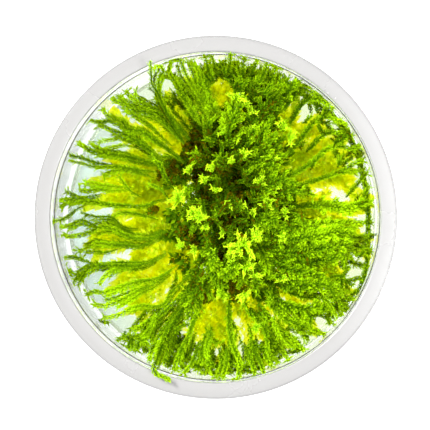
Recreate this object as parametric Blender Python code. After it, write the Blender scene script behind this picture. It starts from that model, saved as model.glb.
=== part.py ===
"""Moss clump growing in a round clear culture cup with nutrient gel.

Metres, +Z up. The origin is the centre of the cup's flat underside, so the cup stands on z = 0.
"""

import math
import random

import bmesh
import bpy
from mathutils import Vector

MM = 0.001

# Cup: radii and heights
FLANGE_RADIUS = 50.0 * MM
LIP_RADIUS = 45.6 * MM
LIP_TAPER = 0.2 * MM
SHOULDER_RADIUS = 45.0 * MM
FLOOR_RADIUS = 43.65 * MM
BASE_RADIUS = 42.1 * MM
RIM_HEIGHT = 45.0 * MM
SHOULDER_HEIGHT = 36.9 * MM
SHOULDER_STEP = 0.4 * MM
SKIRT_DEPTH = 2.6 * MM
WALL = 0.5 * MM
FLANGE_THICKNESS = 0.6 * MM
LIP_ROUND = 0.4 * MM
FLOOR_THICKNESS = 1.2 * MM
CORNER = 1.7 * MM
CUP_STEPS = 56

# Gel: its surface lies this high inside the cup
GEL_TOP = 12.0 * MM
TOUCH_GAP = 0.3 * MM
GEL_STEPS = 36

# Moss: the crown sits off the cup's axis, and every plume springs from it
CROWN_CENTRE = Vector((1.5, 8.0)) * MM
CROWN_LENGTH = 12.0 * MM
CROWN_WIDTH = 7.0 * MM
CROWN_TURN = math.radians(110)
CROWN_TOP = 35.0 * MM
CROWN_EDGE_DROP = 6.0 * MM
CROWN_TUFTS = 28
TUFT_LEAN = 1.25
GOLDEN_TURN = 137.5
ROOT_HEIGHT = GEL_TOP + 1.5 * MM
RISE_HEIGHT = 30.0 * MM
RISE_SHARE = 0.1
MIDDLE_SHARE = 0.6
SHORT_SHOOT_REACH = (0.2, 0.45)
SHORT_SHOOT_TOP = (26.0 * MM, 32.0 * MM)
SHOOT_POINTS = 9
SHOOT_SIDES = 2
ROOT_THICKNESS = 3.0 * MM
MIDDLE_THICKNESS = 3.6 * MM
TIP_THICKNESS = 1.1 * MM
CELL_RADIUS = 70.0 * MM
CELL_HEIGHT = 60.0 * MM
CELL_STEPS = 4
FUSE_SIZE = 0.7 * MM
PLUME_FACES = 306
CROWN_FACES = 560
SEED = 7

# The plumes, clockwise from above. Each one fills the cup up to a bearing from the crown, in
# degrees, and reaches these tips, in millimetres. Its middle height pulls its shoots up to a mat or
# lets them sag. A bent shoot goes over a point before its tip.
FIRST_BEARING = 102.0
PLUMES = (
    {"to": 77.5, "middle": 24, "tips": ((-3, 43.5, 41), (-1, 43.5, 40), (7.5, 43, 40)),
     "bent": ((3, 41.5, 43), (4.5, 44.5, 46.5))},
    {"to": 49.5, "middle": 34, "tips": ((11, 42.5, 38), (14, 41.5, 37), (16.5, 40.5, 37), (22, 37, 34))},
    {"to": 12.5, "middle": 25, "tips": ((28.5, 32, 30), (32.5, 28.5, 32), (35, 25, 34), (38.5, 19, 34))},
    {"to": 349.0, "middle": 18, "tips": ((40.5, 13, 29), (42, 7.5, 28), (42, 2.5, 27))},
    {"to": 331.0, "middle": 33, "tips": ((42, -2.5, 28), (42, -7, 29), (41.5, -10, 30))},
    {"to": 310.0, "middle": 32, "tips": ((39, -17.5, 30), (37, -22, 30), (34.5, -25, 29))},
    {"to": 287.0, "middle": 30, "tips": ((29, -31, 30), (23.5, -36, 31), (20, -38, 34))},
    {"to": 271.0, "middle": 14, "tips": ((12.5, -42, 35), (9.5, -42.5, 35), (5, -43, 36))},
    {"to": 256.5, "middle": 14, "tips": ((-0.5, -43, 34), (-5, -43, 33), (-9, -42, 34))},
    {"to": 243.3, "middle": 14, "tips": ((-12.5, -41, 32), (-19, -38, 30)),
     "bent": ((-16.5, -41, 45.5), (-12.5, -45, 47))},
    {"to": 231.0, "middle": 10, "tips": ((-23, -36, 29), (-25, -35, 30), (-27, -33, 32))},
    {"to": 215.6, "middle": 10, "tips": ((-31.5, -28, 26), (-34.5, -24, 26), (-36.5, -21.5, 26))},
    {"to": 203.3, "middle": 8, "tips": ((-39, -19, 29), (-40, -16.5, 32), (-41, -14, 33), (-42, -12, 33))},
    {"to": 189.0, "middle": 14, "tips": ((-39.5, -8.5, 24), (-42, -4.5, 30), (-42.5, -3, 31)),
     "bent": ((-41, -2, 36), (-43.5, -1.5, 42))},
    {"to": 174.0, "middle": 15, "tips": ((-42.5, 3, 31), (-42.5, 5, 32), (-42, 7, 28), (-38.5, 8, 24))},
    {"to": 156.5, "middle": 19, "tips": ((-39.5, 16.5, 35), (-38, 20, 33), (-34, 21, 26))},
    {"to": 126.0, "middle": 29, "tips": ((-34, 26, 33), (-31, 29, 31), (-28, 31.5, 31), (-24, 34.5, 26))},
    {"to": 102.0, "middle": 29, "tips": ((-16.5, 40, 39), (-12.5, 41.5, 38.5), (-9, 42.5, 38.5)),
     "bent": ((-16.5, 40, 45), (-18, 43, 47.5))},
)


def clear_scene():
    for obj in list(bpy.data.objects):
        bpy.data.objects.remove(obj, do_unlink=True)


def make_material(name, colour, roughness, transmission=0.0, ior=1.45):
    material = bpy.data.materials.new(name)
    material.use_nodes = True
    shader = material.node_tree.nodes["Principled BSDF"]
    shader.inputs["Base Color"].default_value = (*colour, 1.0)
    shader.inputs["Roughness"].default_value = roughness
    shader.inputs["Metallic"].default_value = 0.0
    shader.inputs["Transmission Weight"].default_value = transmission
    shader.inputs["IOR"].default_value = ior
    return material


def link_object(name, data, material):
    obj = bpy.data.objects.new(name, data)
    data.materials.append(material)
    bpy.context.collection.objects.link(obj)
    return obj


def turn(name, profile, steps, material):
    """Turns a profile of (radius, height) points, outer side downwards, about the vertical axis."""
    mesh = bpy.data.meshes.new(name)
    edges = [(i, i + 1) for i in range(len(profile) - 1)]
    mesh.from_pydata([(radius, 0.0, height) for radius, height in profile], edges, [])
    obj = link_object(name, mesh, material)
    screw = obj.modifiers.new("Turn", "SCREW")
    screw.axis = "Z"
    screw.steps = steps
    screw.render_steps = steps
    screw.use_merge_vertices = True
    screw.merge_threshold = 0.01 * MM
    screw.use_smooth_shade = True
    return obj


def wall_radius(height):
    """Inner radius of the tapered wall below the shoulder."""
    low = FLOOR_THICKNESS + CORNER
    share = (height - low) / (SHOULDER_HEIGHT - low)
    return FLOOR_RADIUS + share * (SHOULDER_RADIUS - FLOOR_RADIUS)


def make_cup():
    inner = [
        (0.0, FLOOR_THICKNESS),
        (FLOOR_RADIUS - CORNER, FLOOR_THICKNESS),
        (FLOOR_RADIUS, FLOOR_THICKNESS + CORNER),
        (SHOULDER_RADIUS, SHOULDER_HEIGHT),
        (LIP_RADIUS - LIP_TAPER, SHOULDER_HEIGHT + SHOULDER_STEP),
        (LIP_RADIUS, RIM_HEIGHT - LIP_ROUND),
    ]
    flange = [
        (LIP_RADIUS + 0.3 * LIP_ROUND, RIM_HEIGHT - 0.3 * LIP_ROUND),
        (LIP_RADIUS + LIP_ROUND, RIM_HEIGHT),
        (FLANGE_RADIUS - LIP_ROUND, RIM_HEIGHT),
        (FLANGE_RADIUS - 0.3 * LIP_ROUND, RIM_HEIGHT - 0.3 * LIP_ROUND),
        (FLANGE_RADIUS, RIM_HEIGHT - LIP_ROUND),
        (FLANGE_RADIUS, RIM_HEIGHT - SKIRT_DEPTH),
    ]
    outer = [
        (FLANGE_RADIUS - WALL, RIM_HEIGHT - SKIRT_DEPTH),
        (FLANGE_RADIUS - WALL, RIM_HEIGHT - FLANGE_THICKNESS),
        (LIP_RADIUS + WALL, RIM_HEIGHT - FLANGE_THICKNESS),
        (LIP_RADIUS - LIP_TAPER + WALL, SHOULDER_HEIGHT + SHOULDER_STEP),
        (SHOULDER_RADIUS + WALL, SHOULDER_HEIGHT),
        (FLOOR_RADIUS + WALL, FLOOR_THICKNESS + CORNER),
        (BASE_RADIUS + 0.7 * CORNER, 0.3 * CORNER),
        (BASE_RADIUS, 0.0),
        (0.0, 0.0),
    ]
    clear_plastic = make_material("clear_plastic", (0.94, 0.95, 0.94), 0.12, transmission=0.9, ior=1.49)
    return turn("culture_cup", inner + flange + outer, CUP_STEPS, clear_plastic)


def make_gel():
    bottom = FLOOR_THICKNESS + TOUCH_GAP
    profile = [
        (0.0, GEL_TOP),
        (wall_radius(GEL_TOP) - TOUCH_GAP, GEL_TOP),
        (wall_radius(bottom + CORNER) - TOUCH_GAP, bottom + CORNER),
        (FLOOR_RADIUS - CORNER, bottom),
        (0.0, bottom),
    ]
    gel = make_material("nutrient_gel", (0.88, 0.93, 0.86), 0.08, transmission=0.85, ior=1.34)
    return turn("nutrient_gel", profile, GEL_STEPS, gel)


def arched_route(points):
    """Evenly spaced points on the smooth curve that starts and ends at the outer given points."""
    order = len(points) - 1
    route = []
    for i in range(SHOOT_POINTS):
        t = i / (SHOOT_POINTS - 1)
        weights = [math.comb(order, k) * t**k * (1 - t) ** (order - k) for k in range(order + 1)]
        route.append(sum((w * p for w, p in zip(weights, points)), Vector((0.0, 0.0, 0.0))))
    return route


def thickness_at(share):
    """Thickness of a shoot, which swells to its middle and thins to its tip."""
    if share < 0.5:
        return ROOT_THICKNESS + (MIDDLE_THICKNESS - ROOT_THICKNESS) * share / 0.5
    return MIDDLE_THICKNESS + (TIP_THICKNESS - MIDDLE_THICKNESS) * (share - 0.5) / 0.5


def shoots_mesh(name, routes):
    """One mesh of closed, overlapping tapered tubes, one for each route."""
    curve = bpy.data.curves.new(name, "CURVE")
    curve.dimensions = "3D"
    curve.bevel_depth = 0.5
    curve.bevel_resolution = SHOOT_SIDES
    curve.use_fill_caps = True
    for route in routes:
        spline = curve.splines.new("POLY")
        spline.points.add(len(route) - 1)
        for i, point in enumerate(route):
            spline.points[i].co = (*point, 1.0)
            spline.points[i].radius = thickness_at(i / (len(route) - 1))
    guide = bpy.data.objects.new(name, curve)
    bpy.context.collection.objects.link(guide)
    bpy.context.view_layer.update()
    graph = bpy.context.evaluated_depsgraph_get()
    mesh = bpy.data.meshes.new_from_object(guide.evaluated_get(graph))
    bpy.data.objects.remove(guide, do_unlink=True)
    bpy.data.curves.remove(curve)
    return mesh


def direction(bearing):
    return Vector((math.cos(math.radians(bearing)), math.sin(math.radians(bearing)), 0.0))


def bearing_of(point):
    return math.degrees(math.atan2(point.y - CROWN_CENTRE.y, point.x - CROWN_CENTRE.x))


def crown_point(bearing, share, height):
    """A point at a bearing from the crown's centre and a share of its oval outline."""
    turned = math.radians(bearing) - CROWN_TURN
    reach = 1.0 / math.hypot(math.cos(turned) / CROWN_LENGTH, math.sin(turned) / CROWN_WIDTH)
    return CROWN_CENTRE.to_3d() + direction(bearing) * share * reach + Vector((0.0, 0.0, height))


def make_cell(name, outline):
    """A closed upright space with this outline, standing just over the gel, to cut a solid to."""
    bm = bmesh.new()
    floor = bm.faces.new([bm.verts.new(point) for point in outline])
    raised = bmesh.ops.extrude_face_region(bm, geom=[floor])["geom"]
    top = [item for item in raised if isinstance(item, bmesh.types.BMVert)]
    bmesh.ops.translate(bm, verts=top, vec=(0.0, 0.0, CELL_HEIGHT))
    bmesh.ops.recalc_face_normals(bm, faces=bm.faces)
    mesh = bpy.data.meshes.new(name)
    bm.to_mesh(mesh)
    bm.free()
    cell = bpy.data.objects.new(name, mesh)
    cell.hide_render = True
    cell.display_type = "WIRE"
    bpy.context.collection.objects.link(cell)
    return cell


def plume_outline(high, low):
    """The wedge between two bearings, outside the crown, with half a gap along each side."""
    bearings = [high + (low - high) * i / CELL_STEPS for i in range(CELL_STEPS + 1)]
    floor = GEL_TOP + TOUCH_GAP
    inner = [crown_point(b, 1.0 + TOUCH_GAP / CROWN_WIDTH, floor) for b in bearings]
    outer = [crown_point(b, 0.0, floor) + direction(b) * CELL_RADIUS for b in bearings]
    for points in (inner, outer):
        points[0] += direction(high - 90) * TOUCH_GAP / 2
        points[-1] += direction(low + 90) * TOUCH_GAP / 2
    return inner + outer[::-1]


def crown_outline():
    return [crown_point(bearing, 1.0, GEL_TOP + TOUCH_GAP) for bearing in range(0, 360, 15)]


def fuse(obj, faces, cell):
    """Joins an object's overlapping shoots into one skin of about this many facets, cut to its cell."""
    remesh = obj.modifiers.new("Fuse", "REMESH")
    remesh.mode = "VOXEL"
    remesh.voxel_size = FUSE_SIZE
    bpy.context.view_layer.update()
    fused = obj.evaluated_get(bpy.context.evaluated_depsgraph_get()).to_mesh()
    fused.calc_loop_triangles()
    facets = obj.modifiers.new("Facets", "DECIMATE")
    facets.ratio = faces / len(fused.loop_triangles)
    cut = obj.modifiers.new("Cell", "BOOLEAN")
    cut.operation = "INTERSECT"
    cut.object = cell


def short_shoots(tips):
    """Routes of shorter, steeper shoots, one between each two neighbouring tips."""
    routes = []
    for one, other in zip(tips, tips[1:]):
        between = (one + other) / 2
        root = crown_point(bearing_of(between), 0.8, ROOT_HEIGHT)
        tip = root.lerp(between, random.uniform(*SHORT_SHOOT_REACH))
        tip.z = random.uniform(*SHORT_SHOOT_TOP)
        routes.append(arched_route([root, Vector((root.x, root.y, tip.z)).lerp(tip, 0.5), tip]))
    return routes


def make_plume(number, high, plume, material):
    """A bundle of shoots that rise steeply from the crown and run outwards to the given tips."""
    tips = [Vector(tip) * MM for tip in plume["tips"]]
    bends = [[] for tip in tips]
    if "bent" in plume:
        bend, end = (Vector(point) * MM for point in plume["bent"])
        tips.append(end)
        bends.append([bend, bend])
    routes = short_shoots(tips)
    for tip, bend in zip(tips, bends):
        root = crown_point(bearing_of(tip), 0.8, ROOT_HEIGHT)
        rise = root.lerp(tip, RISE_SHARE)
        rise.z = RISE_HEIGHT
        middle = root.lerp(tip, MIDDLE_SHARE)
        middle.z = plume["middle"] * MM
        routes.append(arched_route([root, rise, middle, *bend, tip]))
    name = f"moss_plume_{number:02d}"
    obj = link_object(name, shoots_mesh(name, routes), material)
    low = plume["to"] - (360.0 if plume["to"] > high else 0.0)
    fuse(obj, PLUME_FACES, make_cell(f"{name}_cell", plume_outline(high, low)))


def make_crown(material):
    """The tangled middle of the clump: short shoots that stand up and lean apart."""
    routes = []
    for i in range(CROWN_TUFTS):
        share = math.sqrt((i + 0.5) / CROWN_TUFTS)
        foot = crown_point(i * GOLDEN_TURN, share, ROOT_HEIGHT)
        height = CROWN_TOP - share * CROWN_EDGE_DROP * random.uniform(0.7, 1.3)
        top = crown_point(i * GOLDEN_TURN, share * TUFT_LEAN, height)
        routes.append(arched_route([foot, foot, top]))
    obj = link_object("moss_crown", shoots_mesh("moss_crown", routes), material)
    fuse(obj, CROWN_FACES, make_cell("moss_crown_cell", crown_outline()))


def main():
    clear_scene()
    random.seed(SEED)
    make_cup()
    make_gel()
    make_crown(make_material("moss_crown_green", (0.06, 0.16, 0.01), 0.7))
    plume_green = make_material("moss_plume_green", (0.16, 0.42, 0.02), 0.6)
    high = FIRST_BEARING
    for number, plume in enumerate(PLUMES, 1):
        make_plume(number, high, plume, plume_green)
        high = plume["to"]


main()
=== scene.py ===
import math

import bmesh
import bpy
import numpy as np
from mathutils import Matrix, Vector


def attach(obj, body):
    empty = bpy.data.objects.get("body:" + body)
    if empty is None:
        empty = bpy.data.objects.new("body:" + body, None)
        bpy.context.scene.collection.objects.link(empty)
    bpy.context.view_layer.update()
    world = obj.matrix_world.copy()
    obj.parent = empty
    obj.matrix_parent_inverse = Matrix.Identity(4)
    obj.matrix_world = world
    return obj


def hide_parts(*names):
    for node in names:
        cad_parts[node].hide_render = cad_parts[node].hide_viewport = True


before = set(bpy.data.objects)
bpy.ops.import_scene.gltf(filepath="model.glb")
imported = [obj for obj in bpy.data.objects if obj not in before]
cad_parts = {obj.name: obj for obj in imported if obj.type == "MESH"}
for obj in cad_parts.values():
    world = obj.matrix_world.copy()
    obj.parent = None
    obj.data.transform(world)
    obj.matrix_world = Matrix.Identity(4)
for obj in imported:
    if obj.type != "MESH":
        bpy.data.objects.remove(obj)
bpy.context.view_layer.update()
print("frame loaded")

mm = 0.001
random = np.random.default_rng(2024)

# the camera stands this far above the rim, tilted a little to the right and to the front
rimHeight = 45.0
cameraHeight = 1100.0
tiltRight = 0.0532
tiltFront = 0.0061
# where the middle of the rim is in the picture, and how large a pixel is there, in millimetres
rimMiddle = (215.3, 217.2)
pixelSize = 0.2747

black = (0.0, 0.0, 0.0)
white = (1.0, 1.0, 1.0)


# materials
def newMaterial(name):
    material = bpy.data.materials.new(name)
    material.use_nodes = True
    tree = material.node_tree
    return material, tree, tree.nodes["Principled BSDF"]


def setValues(tree, node, values):
    # each value is a constant or the output of another node
    for name, value in values.items():
        if isinstance(value, bpy.types.NodeSocket):
            tree.links.new(value, node.inputs[name])
        else:
            node.inputs[name].default_value = value


def addNode(tree, kind, values=None, **settings):
    node = tree.nodes.new("ShaderNode" + kind)
    for name, setting in settings.items():
        setattr(node, name, setting)
    setValues(tree, node, values or {})
    return node


def addNoise(tree, place, scale, detail):
    return addNode(tree, "TexNoise", {"Vector": place, "Scale": scale, "Detail": detail}).outputs["Fac"]


def addRange(tree, value, start, end, low=0.0, high=1.0):
    values = {"Value": value, "From Min": start, "From Max": end, "To Min": low, "To Max": high}
    return addNode(tree, "MapRange", values).outputs["Result"]


def addBump(tree, value, strength, distance):
    values = {"Height": value, "Strength": strength, "Distance": distance}
    return addNode(tree, "Bump", values).outputs["Normal"]


def addMath(tree, operation, first, second, third=0.5):
    node = addNode(tree, "Math", {0: first, 1: second, 2: third}, operation=operation)
    return node.outputs["Value"]


def addRamp(tree, value, stops):
    ramp = addNode(tree, "ValToRGB", {"Fac": value})
    line = ramp.color_ramp
    while len(line.elements) < len(stops):
        line.elements.new(0.5)
    for element, (place, colour) in zip(line.elements, stops):
        element.position = place
        element.color = (*colour, 1.0)
    return ramp.outputs["Color"]


def multiplied(tree, share, colour, tint):
    # a colour, multiplied by a tint where the share is 1
    values = {0: share, 6: colour, 7: (*tint, 1.0)}
    return addNode(tree, "Mix", values, data_type="RGBA", blend_type="MULTIPLY").outputs[2]


def clearPlastic():
    material, tree, shader = newMaterial("clearPlastic")
    place = addNode(tree, "TexCoord").outputs["Object"]
    split = addNode(tree, "SeparateXYZ", {"Vector": place})
    # a faint haze, stronger in patches
    haze = addRange(tree, addNoise(tree, place, 60.0, 4.0), 0.0, 1.0, 0.03, 0.14)
    # the flange is milky and satin, with a painted highlight that makes it a little whiter on the right
    # and painted shade that makes it darker at its outer edge
    level = addNode(tree, "VectorMath", {0: place, 1: (1.0, 1.0, 0.0)}, operation="MULTIPLY")
    fromAxis = addNode(tree, "VectorMath", {0: level.outputs["Vector"]}, operation="LENGTH")
    fromAxis = fromAxis.outputs["Value"]
    satin = addRange(tree, fromAxis, 0.0449, 0.0452)
    lifted = addRange(tree, split.outputs["Z"], 0.0436, 0.0444)
    flange = addMath(tree, "MULTIPLY", satin, lifted)
    # painted highlight: the flange is lighter towards the right
    paintedRightHighlight = addRange(tree, split.outputs["X"], 0.030, 0.046, 0.8, 0.752)
    # painted shade: a darker line at the outer edge of the flange
    edge = addRange(tree, fromAxis, 0.0493, 0.0498, 0.0, 0.2)
    shade = addMath(tree, "MULTIPLY_ADD", flange, paintedRightHighlight, edge)
    tone = addRamp(tree, shade, (
        (0.0, (0.915, 0.917, 0.912)),
        (0.8, (0.295, 0.29, 0.283)),
        (1.0, (0.17, 0.168, 0.165)),
    ))
    milky = addRamp(tree, flange, ((0.0, white), (1.0, (0.25, 0.25, 0.25))))
    # painted shade: the wall is darker grey on the left, between the gel and the lip
    towards = addNode(tree, "VectorMath", {0: place, 1: (-1.0, -0.1, 0.0)}, operation="DOT_PRODUCT")
    side = addRange(tree, towards.outputs["Value"], 0.02, 0.0435)
    height = addRange(tree, split.outputs["Z"], 0.0, 0.05)
    band = addRamp(tree, height, ((0.3, black), (0.44, white), (0.74, white), (0.8, black)))
    # painted shade on the left of the wall
    paintedWallShade = addMath(tree, "MULTIPLY", side, band)
    setValues(tree, shader, {
        "IOR": 1.49,
        "Transmission Weight": milky,
        "Base Color": multiplied(tree, paintedWallShade, tone, (0.55, 0.54, 0.54)),
        "Roughness": addMath(tree, "MULTIPLY_ADD", flange, 0.18, haze),
        # slight waves left by the mould
        "Normal": addBump(tree, addNoise(tree, place, 140.0, 2.0), 0.12, 0.0003),
    })
    return material


def clearGel():
    material, tree, shader = newMaterial("clearGel")
    place = addNode(tree, "TexCoord").outputs["Object"]
    split = addNode(tree, "SeparateXYZ", {"Vector": place})
    cloud = addNoise(tree, place, 45.0, 5.0)
    # blue-green on the left, stained yellow under the dense right part of the moss
    stained = addRange(tree, split.outputs["X"], -0.040, -0.010)
    tint = addRamp(tree, stained, (
        (0.1, (0.43, 0.53, 0.46)),
        (0.5, (0.58, 0.67, 0.52)),
        (1.0, (0.64, 0.72, 0.46)),
    ))
    setValues(tree, shader, {
        "IOR": 1.34,
        "Transmission Weight": 1.0,
        "Base Color": tint,
        "Roughness": addRange(tree, cloud, 0.0, 1.0, 0.02, 0.2),
        "Normal": addBump(tree, cloud, 0.35, 0.0006),
    })
    return material


def mossLeaf():
    material, tree, shader = newMaterial("mossLeaf")
    place = addNode(tree, "TexCoord").outputs["Object"]
    youth = addNode(tree, "Attribute", attribute_name="youth").outputs["Fac"]
    patches = addRange(tree, addNoise(tree, place, 320.0, 3.0), 0.3, 0.7, -0.04, 0.04)
    age = addNode(tree, "Math", {0: youth, 1: patches}, operation="ADD", use_clamp=True)
    age = age.outputs["Value"]
    # old brown stems, green shoots, lime young tips and the pale yellow lower growth
    front = addRamp(tree, age, (
        (0.0, (0.02, 0.012, 0.001)),
        (0.12, (0.05, 0.035, 0.001)),
        (0.18, (0.16, 0.12, 0.0)),
        (0.24, (0.025, 0.075, 0.001)),
        (0.3, (0.054, 0.138, 0.001)),
        (0.38, (0.13, 0.265, 0.002)),
        (0.5, (0.335, 0.57, 0.003)),
        (0.62, (0.52, 0.92, 0.006)),
        (0.75, (0.64, 1.0, 0.02)),
        (0.84, (0.88, 1.0, 0.03)),
        (0.9, (0.975, 1.0, 0.014)),
        (0.97, (0.98, 1.0, 0.014)),
        (1.0, (0.95, 0.88, 0.01)),
    ))
    through = addRamp(tree, age, (
        (0.0, (0.10, 0.05, 0.0)),
        (0.12, (0.34, 0.22, 0.0)),
        (0.18, (0.80, 0.52, 0.0)),
        (0.24, (0.12, 0.23, 0.0)),
        (0.3, (0.20, 0.36, 0.0)),
        (0.38, (0.36, 0.52, 0.0)),
        (0.5, (0.74, 0.84, 0.0)),
        (0.62, (0.74, 1.0, 0.0)),
        (0.97, (0.92, 1.0, 0.02)),
        (1.0, (0.95, 0.82, 0.0)),
    ))
    # duller in broad patches, which adds up where many leaves lie over each other
    dull = addRange(tree, addNoise(tree, place, 170.0, 2.0), 0.42, 0.6)
    setValues(tree, shader, {
        "IOR": 1.0,
        "Roughness": 0.42,
        "Base Color": multiplied(tree, dull, front, (0.915, 0.955, 0.9)),
        # the thin wet lower leaves let most of the light of the table straight through
        "Transmission Weight": addRamp(tree, age, ((0.84, black), (0.9, (0.99, 0.99, 0.99)))),
    })
    glow = addNode(tree, "BsdfTranslucent", {"Color": through})
    share = addRamp(tree, age, ((0.2, (0.3,) * 3), (0.62, (0.45,) * 3), (0.9, (0.028,) * 3)))
    mix = addNode(tree, "MixShader", {
        "Fac": share, 1: shader.outputs["BSDF"], 2: glow.outputs["BSDF"],
    })
    setValues(tree, tree.nodes["Material Output"], {"Surface": mix.outputs["Shader"]})
    return material


plastic = clearPlastic()
gelMaterial = clearGel()
leafMaterial = mossLeaf()
print("materials ready")


# the cup and the gel
def turnProfile(name, corners, steps, material):
    shape = bmesh.new()
    made = [shape.verts.new((radius, 0.0, height)) for radius, height, _ in corners]
    for first, second in zip(made, made[1:]):
        shape.edges.new((first, second))
    for vert, (_, _, rounding) in zip(made, corners):
        if rounding:
            bmesh.ops.bevel(shape, geom=[vert], offset=rounding, offset_type="OFFSET", segments=5,
                            profile=0.5, affect="VERTICES", material=-1)
    bmesh.ops.spin(shape, geom=shape.verts[:] + shape.edges[:], cent=(0, 0, 0), axis=(0, 0, 1),
                   angle=math.tau, steps=steps, use_merge=True)
    bmesh.ops.remove_doubles(shape, verts=shape.verts[:], dist=0.001)
    bmesh.ops.recalc_face_normals(shape, faces=shape.faces[:])
    bmesh.ops.scale(shape, vec=(mm, mm, mm), verts=shape.verts[:])
    mesh = bpy.data.meshes.new(name)
    shape.to_mesh(mesh)
    shape.free()
    mesh.shade_smooth()
    mesh.set_sharp_from_angle(angle=math.radians(32))
    mesh.materials.append(material)
    piece = bpy.data.objects.new(name, mesh)
    bpy.context.collection.objects.link(piece)
    return piece


cup = {
    "steps": 160,
    # radius, height and rounding of each corner, from the inside of the floor to the underside
    "corners": (
        (0.0, 1.2, 0.0),
        (43.65, 1.2, 1.6),
        (45.0, 36.9, 0.25),
        (45.4, 37.3, 0.2),
        (45.6, 45.0, 0.45),
        (50.0, 45.0, 0.15),
        (50.0, 42.4, 0.15),
        (49.5, 42.4, 0.15),
        (49.5, 44.4, 0.3),
        (46.1, 44.4, 0.4),
        (45.9, 37.3, 0.2),
        (45.5, 36.9, 0.25),
        (44.3, 0.0, 2.2),
        (0.0, 0.0, 0.0),
    ),
    # the inside of the wall: its radius at these heights
    "heights": (1.2, 2.9, 36.9, 37.3, 45.0),
    "radii": (42.0, 43.7, 45.0, 45.4, 45.6),
}
cupPiece = turnProfile("cupShell", cup["corners"], cup["steps"], plastic)
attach(cupPiece, "root")
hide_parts("culture_cup")

gel = {
    "steps": 128,
    "corners": (
        (0.0, 12.0, 0.0),
        (43.7, 12.0, 0.3),
        (43.3, 1.5, 1.7),
        (0.0, 1.5, 0.0),
    ),
}
gelPiece = turnProfile("gelDisc", gel["corners"], gel["steps"], gelMaterial)
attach(gelPiece, "root")
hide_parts("nutrient_gel")
print("cup and gel turned")


# the moss
leaf = {
    "perMm": 6.2,        # leaves along a shoot
    "width": 0.3,        # half width over length
    "widest": 0.42,      # where the leaf is widest
    "fold": 0.10,        # how far the edges rise
    "curl": 0.16,        # how far the tip bends
    "flat": 0.62,        # how flat the shoot is
    "turn": math.radians(137.5),   # from one leaf to the next, round the shoot
    "ages": (-0.08, 0.0, 0.14, 0.0),   # darker at the foot of a leaf, lighter at its tip
    "scale": 1.18,       # its length over the size that a shoot asks for
    "sizes": (0.8, 1.2),   # the shares of that length which single leaves have
    "atFoot": (1.5, 0.55),   # how far from the foot of a shoot they are short, and how short
    "atTip": (0.9, 0.45),
    "uneven": 0.045,     # how much the youth differs from leaf to leaf
    "wobble": 6.0,       # and the spread, in degrees
}
room = {
    "lowest": 12.15,     # just over the gel
    "highest": 47.4,
    "overRim": 45.35,    # over this height a leaf may lie on the flange
    "flange": 49.5,
    "wallGap": 0.25,
}
upward = np.array((0.0, 0.0, 1.0))


def leafOutline():
    blade = bmesh.new()
    spots = (
        (0.0, 0.0, 0.0),
        (leaf["width"], leaf["widest"], leaf["fold"]),
        (0.0, 1.0, -leaf["curl"]),
        (-leaf["width"], leaf["widest"], leaf["fold"]),
    )
    corners = [blade.verts.new(spot) for spot in spots]
    blade.faces.new((corners[0], corners[1], corners[2]))
    blade.faces.new((corners[0], corners[2], corners[3]))
    blade.verts.index_update()
    places = np.array([vert.co[:] for vert in blade.verts])
    faces = np.array([[vert.index for vert in face.verts] for face in blade.faces])
    blade.free()
    return places, faces


bladePlaces, bladeFaces = leafOutline()
bladeAges = np.array(leaf["ages"])


def unit(rows):
    return rows / np.maximum(np.linalg.norm(rows, axis=-1, keepdims=True), 1e-9)


def heading(angle):
    return np.array((math.cos(angle), math.sin(angle)))


def curveThrough(start, firstPull, lastPull, end, count):
    t = np.linspace(0.0, 1.0, count)[:, None]
    return ((1 - t) ** 3 * start + 3 * (1 - t) ** 2 * t * firstPull
            + 3 * (1 - t) * t ** 2 * lastPull + t ** 3 * end)


def bentRoute(start, end, bend):
    middle = (start + end) / 2 + random.normal(0, bend, 3)
    return curveThrough(start, middle, middle, end, 8)


def flatRoute(middle, turn, rise, half, count):
    half = np.array((math.cos(turn), math.sin(turn), rise)) * half
    return np.linspace(middle - half, middle + half, count)


def wander(route, amount):
    count = len(route)
    t = np.linspace(0.0, 1.0, count)[:, None]
    ease = np.minimum(1.0, 3.0 * t) * amount
    shift = np.zeros_like(route)
    for waves in (1.3, 2.7, 5.1):
        phase = random.uniform(0, math.tau, 3)
        shift += np.sin(t * waves * math.tau * 0.5 + phase) * random.uniform(0.3, 1.0, 3) / waves
    return route + shift * ease * np.array((1.0, 1.0, 0.6))


def lengthAlong(route):
    steps = np.linalg.norm(np.diff(route, axis=0), axis=1)
    return np.concatenate(((0.0,), np.cumsum(steps)))


def pick(at, reach, rows):
    return np.stack([np.interp(at, reach, rows[:, i]) for i in range(3)], axis=-1)


def seenAt(across, down, height):
    depth = rimHeight - height
    size = pixelSize * (1.0 + depth / cameraHeight)
    return np.array(((across - rimMiddle[0]) * size - depth * tiltRight,
                     (rimMiddle[1] - down) * size + depth * tiltFront, height))


def rimView(spots):
    depth = rimHeight - spots[:, 2]
    scale = 1.0 + depth / cameraHeight
    return np.stack(((spots[:, 0] + depth * tiltRight) / scale,
                     (spots[:, 1] - depth * tiltFront) / scale), axis=1)


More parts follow.
